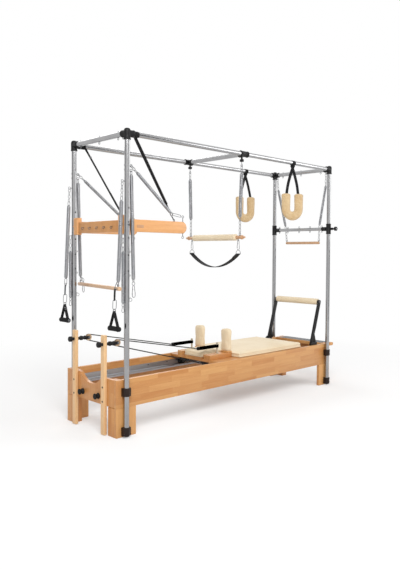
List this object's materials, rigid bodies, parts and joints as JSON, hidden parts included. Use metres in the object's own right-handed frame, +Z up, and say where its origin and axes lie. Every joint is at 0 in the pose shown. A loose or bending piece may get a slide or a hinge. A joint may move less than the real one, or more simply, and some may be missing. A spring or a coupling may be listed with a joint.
{
  "type": "pilates trapeze table",
  "caption": "Wooden reformer bed with a sliding padded carriage under a full-length steel canopy hung with springs, straps, a trapeze bar and padded loops.",
  "frame": {"origin": "on the floor, midway between the four canopy posts", "axes": "+X from the head end to the foot end, +Y from the near side to the far side, +Z up"},
  "size_m": [2.69, 0.828, 2.135],
  "materials": {
    "beech": "satin lacquer over finger-jointed strips",
    "trapeze": "satin lacquered bar with steel springs and chains",
    "steel": "polished tube with black fittings",
    "spring_steel": "bright wound wire",
    "aluminium": "satin anodised",
    "black_plastic": "fine matte",
    "black_paint": "satin powder coat",
    "roller_cover": "smooth stretched cover over foam",
    "cream_leather": "soft grained",
    "plush": "short pile",
    "webbing": "woven",
    "black_rope": "braided"
  },
  "bodies": {
    "frame": {"side_panel_near": "beech", "side_panel_far": "beech", "end_board_head": "beech", "end_board_foot": "beech", "standing_platform": "beech", "track_near": "aluminium", "track_far": "aluminium", "spring_bar": "aluminium", "riser_near": "beech", "riser_far": "beech", "post_head_near": "steel", "post_head_far": "steel", "post_foot_near": "steel", "post_foot_far": "steel", "top_rail_near": "steel", "top_rail_far": "steel", "cross_rail_head": "steel", "cross_rail_foot": "steel", "footbar_base": "black_paint", "carriage_springs": "spring_steel", "rope_near": "black_rope", "rope_far": "black_rope", "arm_spring_near": "spring_steel", "side_spring_far": "spring_steel"},
    "carriage": {"carriage_deck": "beech", "carriage_pad": "cream_leather"},
    "headrest": {"headrest": "cream_leather"},
    "shoulder_near": {"shoulder_rest_near": "cream_leather"},
    "shoulder_far": {"shoulder_rest_far": "cream_leather"},
    "wheels_front": {"wheel_set_front": "black_plastic"},
    "wheels_rear": {"wheel_set_rear": "black_plastic"},
    "footbar": {"footbar_frame": "black_paint"},
    "footbar_roller": {"footbar_roller": "roller_cover"},
    "push_bar": {"push_bar": "beech"},
    "mid_crossbar": {"mid_crossbar": "steel"},
    "trapeze": {"trapeze_bar": "trapeze", "trapeze_pad": "plush"},
    "sling": {"trapeze_sling": "webbing"},
    "foot_crossbar": {"foot_crossbar": "steel"},
    "collar_knob": {"collar_knob": "black_plastic"},
    "roll_down": {"roll_down_set": "spring_steel"},
    "arm_spring_far": {"arm_spring_far": "spring_steel"},
    "side_spring_near": {"side_spring_near": "spring_steel"},
    "dowel": {"dowel_bar": "beech"},
    "fork_near": {"pulley_fork_near": "black_plastic"},
    "pulley_near": {"pulley_wheel_near": "black_plastic"},
    "loop_near": {"loop_strap_near": "webbing", "loop_pad_near": "plush"},
    "push_spring_near": {"push_spring_near": "spring_steel"},
    "push_strap_near": {"push_strap_near": "webbing"},
    "handle_near": {"arm_handle_near": "webbing"},
    "inner_spring_near": {"inner_spring_near": "spring_steel"},
    "fork_far": {"pulley_fork_far": "black_plastic"},
    "pulley_far": {"pulley_wheel_far": "black_plastic"},
    "loop_far": {"loop_strap_far": "webbing", "loop_pad_far": "plush"},
    "push_spring_far": {"push_spring_far": "spring_steel"},
    "push_strap_far": {"push_strap_far": "webbing"},
    "handle_far": {"arm_handle_far": "webbing"},
    "inner_spring_far": {"inner_spring_far": "spring_steel"}
  },
  "joints": [
    {"name": "carriage_slide", "type": "slide", "parent": "frame", "child": "carriage", "axis": [1, 0, 0], "range_m": [-0.8, 0], "deforming": ["rope_near", "rope_far", "carriage_springs"]},
    {"name": "wheels_front_roll", "type": "hinge", "parent": "carriage", "child": "wheels_front", "pos_m": [-0.15, 0, 0.3303], "axis": [0, 1, 0], "range_deg": [-1540, 5]},
    {"name": "wheels_rear_roll", "type": "hinge", "parent": "carriage", "child": "wheels_rear", "pos_m": [0.7, 0, 0.3303], "axis": [0, 1, 0], "range_deg": [-1540, 5]},
    {"name": "headrest_tilt", "type": "hinge", "parent": "carriage", "child": "headrest", "pos_m": [-0.075, 0, 0.405], "axis": [0, 1, 0], "range_deg": [0, 35]},
    {"name": "shoulder_near_lift", "type": "slide", "parent": "carriage", "child": "shoulder_near", "axis": [0, 0, 1], "range_m": [0, 0.06]},
    {"name": "shoulder_far_lift", "type": "slide", "parent": "carriage", "child": "shoulder_far", "axis": [0, 0, 1], "range_m": [0, 0.06]},
    {"name": "footbar_fold", "type": "hinge", "parent": "frame", "child": "footbar", "pos_m": [1.047, 0, 0.405], "axis": [0, 1, 0], "range_deg": [-75, 0]},
    {"name": "footbar_roller_spin", "type": "hinge", "parent": "footbar", "child": "footbar_roller", "pos_m": [1.167, 0, 0.81], "axis": [0, 1, 0], "continuous": true},
    {"name": "mid_crossbar_slide", "type": "slide", "parent": "frame", "child": "mid_crossbar", "axis": [1, 0, 0], "range_m": [-0.25, 0.2]},
    {"name": "trapeze_swing", "type": "hinge", "parent": "mid_crossbar", "child": "trapeze", "pos_m": [-0.024, 0, 2.004], "axis": [0, 1, 0], "range_deg": [-30, 30]},
    {"name": "sling_swing", "type": "hinge", "parent": "trapeze", "child": "sling", "pos_m": [-0.024, 0, 1.388], "axis": [0, 1, 0], "range_deg": [-40, 40]},
    {"name": "foot_crossbar_slide", "type": "slide", "parent": "frame", "child": "foot_crossbar", "axis": [0, 0, 1], "range_m": [-0.65, 0]},
    {"name": "collar_knob_turn", "type": "hinge", "parent": "foot_crossbar", "child": "collar_knob", "pos_m": [1.208, -0.4, 1.524], "axis": [0, 1, 0], "continuous": true},
    {"name": "roll_down_swing", "type": "hinge", "parent": "frame", "child": "roll_down", "pos_m": [1.208, 0, 2.062], "axis": [0, -1, 0], "range_deg": [0, 60]},
    {"name": "push_bar_lift", "type": "hinge", "parent": "frame", "child": "push_bar", "pos_m": [-1.208, 0, 1.472], "axis": [0, -1, 0], "range_deg": [0, 45], "deforming": ["push_spring_near", "push_spring_far", "push_strap_near", "push_strap_far"]},
    {"name": "fork_near_swivel", "type": "hinge", "parent": "frame", "child": "fork_near", "pos_m": [-1.278, -0.185, 0.64], "axis": [1, 0, 0], "range_deg": [-30, 30]},
    {"name": "pulley_near_spin", "type": "hinge", "parent": "fork_near", "child": "pulley_near", "pos_m": [-1.178, -0.185, 0.64], "axis": [0, 1, 0], "continuous": true},
    {"name": "loop_near_swing", "type": "hinge", "parent": "frame", "child": "loop_near", "pos_m": [0.632, -0.338, 2.1], "axis": [1, 0, 0], "range_deg": [-45, 45]},
    {"name": "push_spring_near_follow", "type": "hinge", "parent": "frame", "child": "push_spring_near", "pos_m": [-1.17186, -0.33787, 1.8783], "axis": [0, -1, 0], "range_deg": [0, 60], "deforming": ["push_spring_near"]},
    {"name": "push_strap_near_follow", "type": "hinge", "parent": "frame", "child": "push_strap_near", "pos_m": [-1.132, -0.338, 2.1], "axis": [0, -1, 0], "range_deg": [0, 30], "deforming": ["push_strap_near"]},
    {"name": "inner_spring_near_swing", "type": "hinge", "parent": "frame", "child": "inner_spring_near", "pos_m": [-1.24, -0.338, 1.408], "axis": [-1, 0, 0], "range_deg": [0, 35]},
    {"name": "fork_far_swivel", "type": "hinge", "parent": "frame", "child": "fork_far", "pos_m": [-1.278, 0.185, 0.64], "axis": [1, 0, 0], "range_deg": [-30, 30]},
    {"name": "pulley_far_spin", "type": "hinge", "parent": "fork_far", "child": "pulley_far", "pos_m": [-1.178, 0.185, 0.64], "axis": [0, 1, 0], "continuous": true},
    {"name": "loop_far_swing", "type": "hinge", "parent": "frame", "child": "loop_far", "pos_m": [0.745, 0.338, 2.1], "axis": [1, 0, 0], "range_deg": [-45, 45]},
    {"name": "push_spring_far_follow", "type": "hinge", "parent": "frame", "child": "push_spring_far", "pos_m": [-1.17186, 0.33787, 1.8783], "axis": [0, -1, 0], "range_deg": [0, 60], "deforming": ["push_spring_far"]},
    {"name": "push_strap_far_follow", "type": "hinge", "parent": "frame", "child": "push_strap_far", "pos_m": [-1.132, 0.338, 2.1], "axis": [0, -1, 0], "range_deg": [0, 30], "deforming": ["push_strap_far"]},
    {"name": "inner_spring_far_swing", "type": "hinge", "parent": "frame", "child": "inner_spring_far", "pos_m": [-1.24, 0.338, 1.408], "axis": [1, 0, 0], "range_deg": [0, 35]},
    {"name": "arm_spring_far_swing", "type": "hinge", "parent": "frame", "child": "arm_spring_far", "pos_m": [-1.248, 0.338, 1.766], "axis": [0, 1, 0], "range_deg": [0, 60]},
    {"name": "handle_near_swing", "type": "hinge", "parent": "frame", "child": "handle_near", "pos_m": [-1.31116, -0.338, 0.893], "axis": [0, 1, 0], "range_deg": [0, 60]},
    {"name": "handle_far_swing", "type": "hinge", "parent": "arm_spring_far", "child": "handle_far", "pos_m": [-1.28816, 0.338, 0.893], "axis": [0, 1, 0], "range_deg": [0, 60]},
    {"name": "side_spring_near_swing", "type": "hinge", "parent": "frame", "child": "side_spring_near", "pos_m": [-1.174, -0.338, 1.844], "axis": [0, -1, 0], "range_deg": [0, 30]},
    {"name": "dowel_swing", "type": "hinge", "parent": "frame", "child": "dowel", "pos_m": [-1.28043, -0.338, 1.061], "axis": [0.1887, 0.982, 0], "range_deg": [-10, 10]}
  ],
  "couplings": [
    {"joint": "wheels_front_roll", "follows": "carriage_slide", "rad_per_m": 33.333},
    {"joint": "wheels_rear_roll", "follows": "carriage_slide", "rad_per_m": 33.333},
    {"joint": "push_spring_near_follow", "follows": "push_bar_lift", "ratio": 0.8836},
    {"joint": "push_strap_near_follow", "follows": "push_bar_lift", "ratio": 0.1193},
    {"joint": "push_spring_far_follow", "follows": "push_bar_lift", "ratio": 0.8836},
    {"joint": "push_strap_far_follow", "follows": "push_bar_lift", "ratio": 0.1193}
  ]
}
